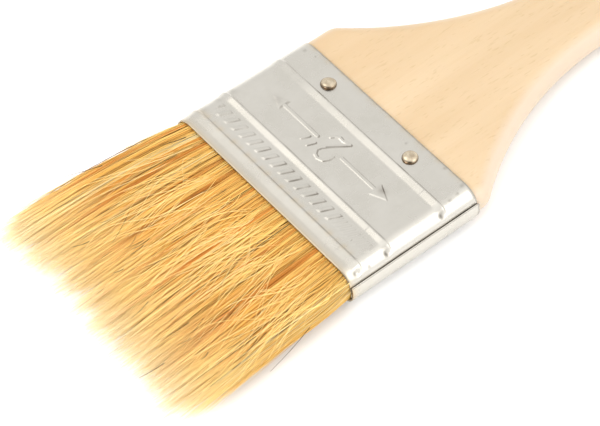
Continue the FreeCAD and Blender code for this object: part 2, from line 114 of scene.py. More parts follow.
class Nodes:
    """A small builder for a material's node tree."""

    def __init__(self, name):
        self.material = bpy.data.materials.new(name)
        self.material.use_nodes = True
        self.tree = self.material.node_tree
        self.surface = self.tree.nodes["Principled BSDF"]

    def add(self, kind, settings=None, **inputs):
        node = self.tree.nodes.new(kind)
        for key, value in (settings or {}).items():
            setattr(node, key, value)
        for key, value in inputs.items():
            self.feed(node.inputs[key.replace("_", " ")], value)
        return node

    def feed(self, socket, value):
        if isinstance(value, bpy.types.NodeSocket):
            self.tree.links.new(value, socket)
        else:
            socket.default_value = value

    def math(self, operation, first, second=0.0, third=0.0):
        node = self.tree.nodes.new("ShaderNodeMath")
        node.operation = operation
        for socket, value in zip(node.inputs, (first, second, third)):
            self.feed(socket, value)
        return node.outputs[0]

    def mix(self, amount, first, second, blend="MIX"):
        node = self.tree.nodes.new("ShaderNodeMix")
        node.data_type = "RGBA"
        node.blend_type = blend
        for socket, value in ((node.inputs[0], amount), (node.inputs[6], first), (node.inputs[7], second)):
            self.feed(socket, value)
        return node.outputs[2]

    def ramp(self, value, *stops):
        node = self.tree.nodes.new("ShaderNodeValToRGB")
        elements = node.color_ramp.elements
        while len(elements) < len(stops):
            elements.new(1.0)
        for element, (place, colour) in zip(elements, stops):
            element.position = place
            element.color = (*colour, 1.0) if len(colour) == 3 else colour
        self.feed(node.inputs[0], value)
        return node.outputs[0]

    def stretched(self, x, y, z):
        """Object coordinates, in metres, scaled along each axis."""
        place = self.add("ShaderNodeTexCoord")
        mapping = self.add("ShaderNodeMapping", Vector=place.outputs["Object"])
        mapping.inputs["Scale"].default_value = (x, y, z)
        return mapping.outputs[0]

    def noise(self, vector, detail=3.0, roughness=0.5, distortion=0.0):
        node = self.add("ShaderNodeTexNoise", Vector=vector, Scale=1.0, Detail=detail,
                        Roughness=roughness, Distortion=distortion)
        return node.outputs["Fac"]

    def bump(self, height, strength, distance):
        node = self.add("ShaderNodeBump", Height=height, Strength=strength, Distance=distance)
        self.feed(self.surface.inputs["Normal"], node.outputs[0])


def grey(value):
    return (value, value, value)


# ---------------------------------------------------------------- materials

# Linear colours. Noise scales are in cycles per metre.
# The next colour is that of the tin's painted shade, with a little real dirt.
STEEL_SHADE_AND_DIRT = (0.05, 0.036, 0.022, 1)
YELLOWED_TIN = (0.56, 0.45, 0.29, 1)
# The next colour is that of the painted shade round the nails' heads.
NAIL_SHADE = (0.07, 0.04, 0.02, 1)
# The next colour is that of the painted light on the handle's rounded edges.
LIT_EDGE_WOOD = (0.615, 0.50, 0.385, 1)


def steel_material():
    n = Nodes("tinned_steel")
    mottle = n.noise(n.stretched(160, 160, 160), detail=3.0, roughness=0.55)
    spangle = n.noise(n.stretched(1100, 700, 1100), detail=2.0)
    tint = n.mix(0.4, n.ramp(mottle, (0.3, (0.55, 0.525, 0.47)), (0.7, (0.60, 0.575, 0.525))),
                 n.ramp(spangle, (0.3, (0.555, 0.53, 0.475)), (0.7, (0.595, 0.57, 0.515))))
    warm = n.add("ShaderNodeAttribute", {"attribute_name": "warm"}).outputs["Fac"]
    tint = n.mix(warm, tint, YELLOWED_TIN)
    # Painted shade, with a little real dirt: this attribute darkens the tin and dulls its shine.
    shade_and_dirt = n.add("ShaderNodeAttribute", {"attribute_name": "shade_and_dirt"}).outputs["Fac"]
    n.feed(n.surface.inputs["Base Color"], n.mix(shade_and_dirt, tint, STEEL_SHADE_AND_DIRT))
    n.feed(n.surface.inputs["Metallic"], n.math("SUBTRACT", 1.0, n.math("MULTIPLY", shade_and_dirt, 0.8)))
    rough = n.math("MULTIPLY_ADD", mottle, 0.12, 0.22)
    n.feed(n.surface.inputs["Roughness"], n.math("MULTIPLY_ADD", shade_and_dirt, 0.4, rough))
    n.bump(mottle, 0.03, 0.0001)
    return n.material


def brass_material():
    n = Nodes("nail_brass")
    wear = n.noise(n.stretched(900, 900, 900), detail=3.0)
    tint = n.ramp(wear, (0.3, (0.42, 0.34, 0.24)), (0.7, (0.66, 0.57, 0.43)))
    shade_and_dirt = n.add("ShaderNodeAttribute", {"attribute_name": "shade_and_dirt"}).outputs["Fac"]
    n.feed(n.surface.inputs["Base Color"], n.mix(shade_and_dirt, tint, NAIL_SHADE))
    n.surface.inputs["Metallic"].default_value = 1.0
    n.feed(n.surface.inputs["Roughness"], n.math("MULTIPLY_ADD", wear, 0.2, 0.15))
    n.bump(wear, 0.15, 0.00015)
    return n.material


def wood_material(name, light, dark):
    """Pale, fine-grained wood along Y, with painted light on the rounded edges, where the surface turns
    sideways.
    """
    n = Nodes(name)
    broad = n.noise(n.stretched(120, 9, 120), detail=3.0, distortion=0.4)
    fine = n.noise(n.stretched(1500, 60, 1500), detail=4.0, roughness=0.6)
    fleck = n.noise(n.stretched(2600, 420, 2600), detail=1.0)
    colour = n.mix(n.ramp(broad, (0.35, grey(0.0)), (0.7, grey(1.0))), (*light, 1), (*dark, 1))
    colour = n.mix(n.ramp(fine, (0.45, grey(0.0)), (0.75, grey(0.3))), colour, (*dark, 1))
    pore = (dark[0] * 0.75, dark[1] * 0.7, dark[2] * 0.6, 1)
    colour = n.mix(n.ramp(fleck, (0.63, grey(0.0)), (0.74, grey(0.3))), colour, pore)
    facing = n.tree.nodes.new("ShaderNodeTexCoord").outputs["Normal"]
    upright = n.math("ABSOLUTE", n.add("ShaderNodeSeparateXYZ", Vector=facing).outputs["Z"])
    # Painted light: faces turned sideways are lightened.
    edge_light = n.math("SUBTRACT", 1.0, n.ramp(upright, (0.72, grey(0.0)), (0.98, grey(1.0))))
    colour = n.mix(n.math("MULTIPLY", edge_light, 0.85), colour, LIT_EDGE_WOOD)
    n.feed(n.surface.inputs["Base Color"], colour)
    n.feed(n.surface.inputs["Roughness"], n.math("MULTIPLY_ADD", fine, 0.15, 0.45))
    n.surface.inputs["Subsurface Weight"].default_value = 0.15
    n.surface.inputs["Subsurface Radius"].default_value = (0.0015, 0.0008, 0.0004)
    n.surface.inputs["Subsurface Scale"].default_value = 1.0
    n.bump(fine, 0.15, 0.0002)
    return n.material


def bristle_material():
    """Blond hog bristle: deep gold at heart, cream towards the split tips, and a few dark hairs, with painted
    shade towards the mouth.
    """
    n = Nodes("bristle")
    tone = n.add("ShaderNodeAttribute", {"attribute_name": "tone"}).outputs["Fac"]
    along = n.add("ShaderNodeAttribute", {"attribute_name": "along"}).outputs["Fac"]
    hair = n.ramp(tone, (0.0, (0.03, 0.012, 0.006)), (0.05, (0.14, 0.05, 0.012)), (0.10, (0.76, 0.30, 0.045)),
                  (0.40, (0.99, 0.54, 0.115)), (0.75, (1.0, 0.675, 0.19)), (1.0, (1.0, 0.84, 0.47)))
    cream = n.ramp(along, (0.50, grey(0.0)), (0.83, grey(0.6)), (1.0, grey(1.0)))
    split_ends = n.ramp(along, (0.80, (1.0, 0.82, 0.39)), (1.0, (0.98, 0.86, 0.60)))
    tip = n.mix(cream, hair, split_ends)
    blond = n.ramp(tone, (0.05, grey(0.0)), (0.11, grey(1.0)))
    # Painted shade: the hairs darken towards the mouth.
    dimmed = n.ramp(along, (0.0, grey(0.77)), (0.45, (0.84, 0.82, 0.79)), (0.8, grey(1.0)))
    shaded = n.mix(1.0, tip, dimmed, "MULTIPLY")
    n.feed(n.surface.inputs["Base Color"], n.mix(blond, hair, shaded))
    n.surface.inputs["Roughness"].default_value = 0.42
    n.surface.inputs["Specular IOR Level"].default_value = 0.35
    return n.material


def resin_material():
    n = Nodes("set_resin")
    cloud = n.noise(n.stretched(400, 400, 400))
    tint = n.ramp(cloud, (0.3, (0.10, 0.05, 0.02)), (0.7, (0.25, 0.13, 0.05)))
    n.feed(n.surface.inputs["Base Color"], tint)
    n.surface.inputs["Roughness"].default_value = 0.3
    return n.material


STEEL = steel_material()
BRASS = brass_material()
HANDLE_WOOD = wood_material("handle_wood", (0.585, 0.443, 0.281), (0.515, 0.365, 0.208))
PLUG_WOOD = wood_material("plug_wood", (0.60, 0.42, 0.24), (0.42, 0.27, 0.14))
BRISTLE = bristle_material()
RESIN = resin_material()


# ---------------------------------------------------------------- ferrule

# Angles are measured from +X round the corners of the section, towards the front.
LAP_END = math.radians(25)
INNER_END = math.radians(-15)
LAP_STARTS = math.radians(-80)
LAP_TUCK = 0.10             # how far the inner end dips under the lap
TUCK_ANGLES = (LAP_END - 0.1, LAP_END + 0.3)
LIP = math.radians(0.9)
LAP_GAP = 0.04
MARKED_HALF = 18.0
MARKED_STEP = 0.13
FACE_STEP = 0.2
BACK_STEP = 0.6
ROUND_STATIONS = 36
RISE_STATIONS = 50
INNER_ROWS = 5
ON_FLAT = 0.01              # an angle from upright below which a point is on the flat front
# Distances from the mouth where the rows change pitch, and the pitch up to each.
ROW_BANDS = ((1.2, 0.2), (4.2, 0.14), (5.1, 0.3), (8.4, 0.13), (11.1, 0.14), (13.0, 0.3), (20.6, 0.13),
             (21.4, 0.25), (24.3, 0.14), (30.0, 0.38))


def smooth_step(x, low, high):
    t = np.clip((x - low) / (high - low), 0, 1)
    return t * t * (3 - 2 * t)


def section_stations():
    """Stations along the strip, from its tucked-in end over the front, round and back to the lapped end.

    Returns for each: the corner or flat centre (x, z), the outward angle and the outer radius."""
    quarter = math.pi / 2
    marked = np.arange(-MARKED_HALF, MARKED_HALF, MARKED_STEP)
    beside = np.arange(MARKED_HALF, HALF_FLAT, FACE_STEP)
    front = np.concatenate([-beside[::-1], marked, beside])
    back = np.arange(-HALF_FLAT, HALF_FLAT, BACK_STEP)
    rise = np.linspace(INNER_END, quarter, RISE_STATIONS, endpoint=False)
    far = np.linspace(quarter, 3 * quarter, ROUND_STATIONS, endpoint=False)
    lip = LAP_END - LIP * np.array([2, 1, 0])
    lap = np.append(np.linspace(-quarter, LAP_END - 3 * LIP, ROUND_STATIONS), lip)
    centre_x = np.concatenate([np.full(len(rise), HALF_FLAT), -front, np.full(len(far), -HALF_FLAT), back,
                               np.full(len(lap), HALF_FLAT)])
    angle = np.concatenate([rise, np.full(len(front), quarter), far, np.full(len(back), 3 * quarter),
                            lap + 2 * math.pi])
    radius = np.full(len(angle), OUTER_RADIUS)
    radius[:len(rise)] -= LAP_TUCK * (1 - smooth_step(rise, *TUCK_ANGLES))
    radius[-len(lap):] += (GAUGE + LAP_GAP) * smooth_step(lap, LAP_STARTS, INNER_END)
    return centre_x, angle, radius


def length_rows(length):
    """Distances from the mouth, close together where the sheet is marked."""
    rows, start = [], 0.0
    for end, pitch in ROW_BANDS:
        rows.append(np.linspace(start, end, max(1, round((end - start) / pitch)), endpoint=False))
        start = end
    return np.append(np.concatenate(rows), length)


def segment_distance(x, y, start, end):
    run = np.subtract(end, start)
    along = np.clip(((x - start[0]) * run[0] + (y - start[1]) * run[1]) / run.dot(run), 0, 1)
    return np.hypot(x - start[0] - along * run[0], y - start[1] - along * run[1])


def stroke(x, y, path, half_width, soft):
    """1 on a pen stroke along a path, falling smoothly to 0 beside it."""
    distance = np.min([segment_distance(x, y, a, b) for a, b in zip(path, path[1:])], axis=0)
    return 1 - smooth_step(distance, half_width - soft, half_width + soft)


def arrow_head(x, y, neck, tip, centre, half, soft):
    """1 inside a triangle that points along X from neck to tip."""
    along = (x - neck) / (tip - neck)
    room = np.minimum((1 - along) * half - np.abs(y - centre), along * half * HEEL_STEEPNESS)
    return smooth_step(room, -soft, soft)


# Beads: crest from the mouth, width, rise, and how far it is flattened by wear towards the far corner.
BEADS = ((2.6, 2.0, 0.305, 0.0), (9.7, 1.5, 0.335, 0.0), (22.7, 1.75, 0.40, 0.45))
BEAD_CREASES = (-0.12, 0.0, 0.12)    # the slope is averaged over these shifts, which eases its two creases
BEAD_STEP = 0.2             # half the length of the steep side
BEAD_FILLET = 0.07          # depth of the hollow at the foot of the steep side
FILLET_OFFSET = 0.7
FILLET_WIDTH = 0.5
TICK_BAND = (5.4, 8.1)      # distances from the mouth
TICK_PITCH = 2.26
TICK_LEAN = 1.25
TICK_EDGE = 12.05           # X of one tick's right edge
TICK_WIDTH = 1.3
TICK_RISE = 0.11
TICK_LEFT_EASE = 0.3
TICK_RIGHT_EASE = 0.4
TICK_ENDS = ((-0.2, 0.5), (-0.3, 0.2))    # where a tick rises and falls at the ends of the band
TICKS_STOP = 12.1           # X past which only fine scratches are left
SCRATCH_RISE = 0.045
SCRATCHES_PER_TICK = 2
PAST_CORNER = 0.6           # how far the row runs past the flat
MARK_LINE = 16.7
MARK_RISE = 0.1
MARK_SOFT = 0.15
# Arrows: X where the shaft starts, where its head starts and ends, half width and softness of the head.
ARROWS = ((2.6, 12.0, 15.4, 1.6, MARK_SOFT), (-4.3, -14.0, -17.0, 1.3, 0.35))
SHAFT_PEN = 0.36            # half widths of the pens
NUMERAL_PEN = 0.3
INCH_PEN = 0.25
SHAFT_SHARE = 0.8
HEEL_STEEPNESS = 2
# Pen paths of the size numeral and its inch marks, read from the handle: X, and distance from the mouth.
NUMERAL = ((1.4, 15.6), (1.3, 14.6), (0.8, 13.7), (-0.3, 13.3), (-1.3, 13.6), (-1.95, 14.5), (-1.7, 15.5),
           (-1.2, 16.3), (1.35, 19.9), (0.7, 19.75), (-0.3, 19.5), (-1.3, 19.6), (-2.1, 19.0), (-2.5, 18.4))
INCH_MARKS = (((-5.2, 15.5), (-5.8, 14.0)), ((-3.3, 15.3), (-3.9, 13.8)))


def tick_relief(x, y):
    """A row of slanted, flat-topped ticks that dwindle to fine scratches near the right corner."""
    low, high = TICK_BAND
    slanted = x - TICK_LEAN * (y - low) / (high - low) - TICK_EDGE
    across = slanted % TICK_PITCH
    left = TICK_PITCH - TICK_WIDTH
    body = smooth_step(across, left, left + TICK_LEFT_EASE)
    body = body * (1 - smooth_step(across, TICK_PITCH - TICK_RIGHT_EASE, TICK_PITCH))
    fine = 0.5 + 0.5 * np.cos(slanted * SCRATCHES_PER_TICK * 2 * math.pi / TICK_PITCH)
    (rise_from, rise_to), (fall_from, fall_to) = TICK_ENDS
    band = smooth_step(y, low + rise_from, low + rise_to)
    band = band * (1 - smooth_step(y, high + fall_from, high + fall_to))
    edge = np.abs(x) < HALF_FLAT + PAST_CORNER
    return band * edge * np.where(slanted < TICKS_STOP - TICK_EDGE, TICK_RISE * body, SCRATCH_RISE * fine)


def size_mark(x, y):
    """An arrow each way across the front, and the size between them."""
    relief = np.zeros_like(x)
    for start, neck, tip, half, soft in ARROWS:
        shaft = stroke(x, y, [(start, MARK_LINE), (neck, MARK_LINE)], SHAFT_PEN, MARK_SOFT)
        head = arrow_head(x, y, neck, tip, MARK_LINE, half, soft)
        relief = np.maximum(relief, np.maximum(SHAFT_SHARE * shaft, head))
    relief = np.maximum(relief, stroke(x, y, NUMERAL, NUMERAL_PEN, MARK_SOFT))
    for path in INCH_MARKS:
        relief = np.maximum(relief, stroke(x, y, path, INCH_PEN, MARK_SOFT))
    return MARK_RISE * relief


def bead_relief(y, worn):
    """Three ridges, each steep on the handle's side and sloping away towards the mouth."""
    relief = np.zeros_like(y)
    for crest, width, rise, wear in BEADS:
        low, high = crest - width / 2, crest + width / 2
        up = np.mean([np.clip((y + shift - low) / (high - low), 0, 1) for shift in BEAD_CREASES], axis=0)
        down = 1 - smooth_step(y, high - BEAD_STEP, high + BEAD_STEP)
        fillet = np.exp(-((y - high - FILLET_OFFSET) / FILLET_WIDTH) ** 2)
        relief += rise * (1 - wear * worn) * (up * down - BEAD_FILLET * fillet)
    return relief


DENT_SEED = 7
DENT_WAVES = 14
DENT_LENGTHS = (7, 26)
DENT_DEPTH = 0.006
BACK_SHIFT = 80             # moves the back's dents away from the front's


def dents(x, y):
    """The slow unevenness of thin sheet, a few hundredths of a millimetre."""
    relief = np.zeros_like(x)
    waves = np.random.default_rng(DENT_SEED)
    for _ in range(DENT_WAVES):
        length = waves.uniform(*DENT_LENGTHS)
        turn, phase = waves.uniform(0, math.pi), waves.uniform(0, 2 * math.pi)
        run = x * math.cos(turn) + y * math.sin(turn)
        relief += DENT_DEPTH * np.sin(run * 2 * math.pi / length + phase)
    return relief


NAIL_HEAD = (NAIL_HIGH[1] - NAIL_LOW[1]) / 2
NAIL_DISTANCE = (NAIL_LOW[1] + NAIL_HIGH[1]) / 2 - MOUTH_Y
NAIL_DIP = 0.03             # depth of the dip round each nail
NAIL_DIP_OFFSET = 0.1
NAIL_DIP_WIDTH = 0.35
# Angles away from the flat between which the beads die out, on the open and on the lapped side.
BEADS_END_LEFT = (math.radians(45), math.radians(75))
BEADS_END_RIGHT = (math.radians(20), math.radians(42))
BEAD_WEAR_AT = (11, 19)     # the worn bead starts to flatten at X = -11 and is flattest left of -19
TICKS_REACH = math.radians(22)
# A dimple in the corner of the lapped side at the end of each bead.
DIMPLE_AT = math.radians(38)
DIMPLE_SPREAD = math.radians(7)
DIMPLE_SHIFT = 0.3
DIMPLE_LENGTH = 0.6
DIMPLE_DEPTH = 0.2


def ferrule_relief(centre_x, angle, y):
    """Height above the plain section at every station and every distance from the mouth."""
    away = np.abs((angle - math.pi / 2 + math.pi) % math.pi)
    away = np.minimum(away, math.pi - away)
    turned = angle % (2 * math.pi)
    front = (turned > 0) & (turned < math.pi)
    front_flat = (front & (away < ON_FLAT))[:, None]
    right_round = (centre_x > 0) & (away > 1e-6)
    fade = np.where(right_round, 1 - smooth_step(away, *BEADS_END_RIGHT),
                    1 - smooth_step(away, *BEADS_END_LEFT))
    around = centre_x + np.sign(centre_x) * away * OUTER_RADIUS
    x, distance = np.broadcast_arrays(around[:, None], y[None, :])
    relief = bead_relief(distance, smooth_step(-around, *BEAD_WEAR_AT)[:, None]) * fade[:, None]
    relief = relief + tick_relief(x, distance) * (front & (away < TICKS_REACH))[:, None]
    relief = relief + size_mark(x, distance) * front_flat
    relief = relief + dents(x + np.where(front, 0, BACK_SHIFT)[:, None], distance)
    for nail_x in (NAIL_LOW[0] + NAIL_HEAD, NAIL_HIGH[0] - NAIL_HEAD):
        ring = np.hypot(x - nail_x, distance - NAIL_DISTANCE) - NAIL_HEAD - NAIL_DIP_OFFSET
        relief = relief - NAIL_DIP * np.exp(-(ring / NAIL_DIP_WIDTH) ** 2) * front_flat
    for crest, *_ in BEADS:
        near = np.exp(-((away - DIMPLE_AT) / DIMPLE_SPREAD) ** 2)[:, None]
        across = np.exp(-((distance - crest + DIMPLE_SHIFT) / DIMPLE_LENGTH) ** 2)
        relief = relief - DIMPLE_DEPTH * near * across * (right_round & front)[:, None]
    return relief


SHADE_SEED = 3
SLOPE_SHADE = 0.9
SHADE_SLOPES = (0.03, 0.17)      # slopes at which the painted shade starts and is full
# Shares of the slopes along the strip and along Y: painted shade lies where the sheet falls to the right and
# the rim.
SHADE_FACING = (0.92, -0.38)
LEFT_SHADE = 0.62                # share of the painted shade left of X = -16
SHADE_FLAT = (math.radians(4), math.radians(14))    # angles from the flat between which the painted shade dies out
DARKENED_FRONT = math.radians(50)  # how far round the corners the blots and the darkened edges reach
# Painted shade along the size numeral's diagonal stroke: X, and distance from the mouth.
SHADED_DIAGONAL = ((-1.15, 16.2), (1.45, 19.6))
SHADED_DIAGONAL_PEN = (0.17, 0.12)     # half width and softness
DIAGONAL_SHADE = 0.65
TICK_SHADE = 0.09 / TICK_RISE
CREST_UNSHADED = 0.5               # share of the painted shade that is lifted beside each crest
CREST_REACH = 0.4
SPECK_DARK = 0.5
MOUTH_SHADE = 0.3                # painted shade along the mouth, and more of it at the right corner
CORNER_SHADE = 0.5
MOUTH_REACH = 0.22
RIM_DARK = 0.18
RIM_REACH = 0.2
LAP_SHADOW = 0.97
LIP_SHADE = 0.6
# Soft patches of painted shade, most of them where the beads end at the right corner: X, distance from the
# mouth, half width, half length, strength.
SHADE_PATCHES = ((-15.8, 16.5, 1.3, 0.9, 0.26), (13.2, 17.4, 1.0, 0.8, 0.5), (24.1, 22.3, 0.7, 0.45, 0.75),
         (24.2, 9.1, 0.7, 0.45, 0.8), (24.3, 5.0, 0.45, 0.3, 0.45), (24.0, 1.8, 0.6, 0.4, 0.5),
         (23.3, 22.9, 0.5, 0.4, 0.25), (23.3, 9.8, 0.5, 0.4, 0.25), (22.4, 25.0, 0.35, 2.2, 0.14),
         (-23.0, 4.2, 1.0, 1.2, 0.2), (-23.2, 8.2, 0.8, 0.8, 0.22), (-23.2, 11.5, 1.0, 0.8, 0.2))
# Specks beside the rim: X, distance from the mouth, radius.
RIM_SPECKS = ((-22.0, 28.3, 0.35), (-19.5, 28.9, 0.2), (7.5, 28.2, 0.25), (16.5, 29.8, 0.35),
              (21.5, 29.4, 0.4), (22.3, 27.6, 0.3), (22.6, 25.6, 0.25))


def ferrule_shade_and_dirt(centre_x, angle, y, relief):
    """How dark each point is made, most of it painted shade: below ridges and strokes, at the beads' ends,
    along the mouth and along the lap; also specks of dirt and a darker line beside the rim.
    """
    shade_phases = np.random.default_rng(SHADE_SEED)
    turned = angle % (2 * math.pi)
    away = np.abs(turned - math.pi / 2)
    front = (away < DARKENED_FRONT)[:, None]
    front_flat = (away < ON_FLAT)[:, None]
    around = centre_x + np.sign(centre_x) * away * OUTER_RADIUS
    x, distance = np.broadcast_arrays(around[:, None], y[None, :])
    run = np.cumsum(np.hypot(np.gradient(centre_x), np.gradient(angle) * OUTER_RADIUS))
    across, along = np.gradient(relief, run, y)
    # Painted shade: slopes that face to the right and towards the rim are darkened, in patches.
    falling = SHADE_FACING[0] * across + SHADE_FACING[1] * along
    patchy = 0.75 + 0.25 * np.sin(x * 0.31 + shade_phases.uniform(0, 6)) * np.sin(x * 1.1 + distance)
    left_fade = LEFT_SHADE + (1 - LEFT_SHADE) * smooth_step(x, -16, -2)
    flat = 1 - smooth_step(away, *SHADE_FLAT)
    shade_and_dirt = SLOPE_SHADE * patchy * left_fade * smooth_step(falling, *SHADE_SLOPES) * flat[:, None]
    for crest, width, *_ in BEADS:
        shade_and_dirt *= 1 - CREST_UNSHADED * np.exp(-((distance - crest - width / 2) / CREST_REACH) ** 2)
    # Painted shade along the numeral's diagonal stroke.
    diagonal_shade = stroke(x, distance, SHADED_DIAGONAL, *SHADED_DIAGONAL_PEN)
    shade_and_dirt = np.maximum(shade_and_dirt, DIAGONAL_SHADE * diagonal_shade * front_flat)
    # Painted shade on the ticks, in step with their relief.
    shade_and_dirt = np.maximum(shade_and_dirt, TICK_SHADE * tick_relief(x, distance) * front_flat)
    # Painted shade in soft patches.
    for blot_x, blot_y, wide, high, dark in SHADE_PATCHES:
        blot = np.exp(-((x - blot_x) / wide) ** 2 - ((distance - blot_y) / high) ** 2)
        shade_and_dirt = shade_and_dirt + dark * blot * front
    for spot_x, spot_y, size in RIM_SPECKS:
        shade_and_dirt += SPECK_DARK * np.exp(-((x - spot_x) ** 2 + (distance - spot_y) ** 2) / size ** 2) * front
    # Painted shade along the mouth, heaviest at the right corner.
    corner = smooth_step(x, HALF_FLAT - 1, HALF_FLAT + 2)
    shade_and_dirt += (MOUTH_SHADE + CORNER_SHADE * corner) * np.exp(-distance / MOUTH_REACH) * front
    shade_and_dirt += RIM_DARK * np.exp(-(y[-1] - distance) / RIM_REACH) * front
    # Painted shadow on the end tucked under the lap, and painted shade along the lap's lip.
    under = (turned < LAP_END + 0.03) & (angle < math.pi / 2) & (centre_x > 0)
    from_end = 2 * math.pi + LAP_END - angle
    lip = (from_end > LIP / 2) & (from_end < 2.5 * LIP)
    return np.clip(shade_and_dirt + LAP_SHADOW * under[:, None] + LIP_SHADE * lip[:, None], 0, 1)


# How yellow, where (distance from the mouth) and over what length.
MOUTH_WARM, MOUTH_WARM_LENGTH = 0.8, 0.8
BEAD_WARM, BEAD_WARM_AT, BEAD_WARM_LENGTH = 0.45, 3.8, 0.7
RIM_WARM, RIM_WARM_LENGTH = 0.5, 0.8


def ferrule_warmth(x, distance):
    """Where the tin has yellowed: along the mouth, in patches beside the first bead and near the rim."""
    patchy = 0.5 + 0.5 * np.sin(x * 0.9 + 1.0) * np.sin(x * 2.3)
    from_rim = RIM_Y - MOUTH_Y - distance
    mouth = MOUTH_WARM * np.exp(-distance / MOUTH_WARM_LENGTH)[None, :] * np.ones_like(x)[:, None]
    near_bead = np.exp(-((distance - BEAD_WARM_AT) / BEAD_WARM_LENGTH) ** 2)[None, :]
    beside_bead = BEAD_WARM * patchy[:, None] * near_bead
    rim = RIM_WARM * patchy[:, None] * np.exp(-(from_rim / RIM_WARM_LENGTH) ** 2)[None, :]
    return np.clip(mouth + beside_bead + rim, 0, 1)


EDGE_ROUNDING = 0.05        # how far the sheet's ends turn in at the mouth and the rim
EDGE_LENGTH = 0.3


def build_ferrule():
    """One sheet: outer and inner faces, the edges at mouth and rim, and the two ends at the lap."""
    centre_x, angle, radius = section_stations()
    length = RIM_Y - MOUTH_Y
    rows = length_rows(length)
    relief = ferrule_relief(centre_x, angle, rows)
    outward = np.stack([np.cos(angle), np.sin(angle)], axis=1)

    def surface(reach):
        """Points at a reach outwards from the section's centre line, one column per row."""
        x = centre_x[:, None] + outward[:, :1] * reach
        z = MID_Z + outward[:, 1:] * reach
        y = np.broadcast_to(MOUTH_Y + rows[None, :], x.shape)
        return np.stack([x, y, z], axis=2)

    turn_in = EDGE_ROUNDING * (np.exp(-rows / EDGE_LENGTH) + np.exp(-(length - rows) / EDGE_LENGTH))
    outer = surface(radius[:, None] + relief - turn_in[None, :])
    inner = surface(np.broadcast_to((radius - GAUGE)[:, None], relief.shape))
    inner_rows = np.linspace(0, len(rows) - 1, INNER_ROWS).astype(int)
    inner = inner[:, inner_rows]
    stations, outer_rows = outer.shape[:2]
    outer_index = np.arange(stations * outer_rows).reshape(stations, outer_rows)
    inner_index = stations * outer_rows + np.arange(inner[:, :, 0].size).reshape(stations, -1)
    quads = [grid_quads(outer_index), grid_quads(inner_index)[:, ::-1],
             band_quads(inner_index[:, 0], outer_index[:, 0]),
             band_quads(outer_index[:, -1], inner_index[:, -1])]
    points = np.concatenate([outer.reshape(-1, 3), inner.reshape(-1, 3)])
    ends = []
    for column in (0, -1):
        loop = np.concatenate([outer_index[column], inner_index[column][::-1]])
        ends.append(loop[::-1] if column == 0 else loop)
    piece = make_mesh("ferrule_sheet", points, np.concatenate(quads), fans(ends))
    shade_and_dirt = ferrule_shade_and_dirt(centre_x, angle, rows, relief)
    add_attribute(piece, "shade_and_dirt", np.concatenate([shade_and_dirt.ravel(), np.zeros(inner[:, :, 0].size)]))
    warm = ferrule_warmth(centre_x, rows)
    add_attribute(piece, "warm", np.concatenate([warm.ravel(), np.zeros(inner[:, :, 0].size)]))
    finish_piece(piece, STEEL, "tinned_steel", "ferrule")


def grid_quads(index):
    return np.stack([index[:-1, :-1], index[:-1, 1:], index[1:, 1:], index[1:, :-1]], axis=-1).reshape(-1, 4)


def band_quads(first, second):
    return np.stack([first[:-1], second[:-1], second[1:], first[1:]], axis=-1)


def fans(loops):
    """Triangles across long thin end faces: each outer point joined to the nearest of the few inner ones."""
    triangles = []
    for loop in loops:
        outer = loop[:-INNER_ROWS]
        inner = loop[-INNER_ROWS:][::-1]
        reach = np.minimum((np.arange(len(outer)) * INNER_ROWS) // len(outer), INNER_ROWS - 1)
        for i in range(len(outer) - 1):
            triangles.append((outer[i], outer[i + 1], inner[reach[i]]))
            if reach[i + 1] != reach[i]:
                triangles.append((outer[i + 1], inner[reach[i + 1]], inner[reach[i]]))
    return triangles


# ---------------------------------------------------------------- nails

NAIL_SHADOW = math.radians(-50)     # the side on which the painted shade round a head lies thickest
DOME_RADIUS = 1.58
DOME_RISE = 0.75
DOME_FLATNESS = 0.8
DOME_RINGS = 14
NAIL_SIDES = 48
NAIL_SEAT = 0.02
# Radius and height of the rings below the dome: its edge, its underside, the shank and the point.
UNDER_HEAD = ((DOME_RADIUS * 0.99, -0.08), (DOME_RADIUS * 0.9, -0.12), (0.75, -0.12), (0.75, -3.6),
              (0.05, -5.3))
HEAD_BOTTOM = -0.2                  # only rings above this height tilt with the head
HAMMER_TILTS = ((0.03, -0.05), (-0.06, 0.04), (0.05, 0.02), (-0.03, -0.04))


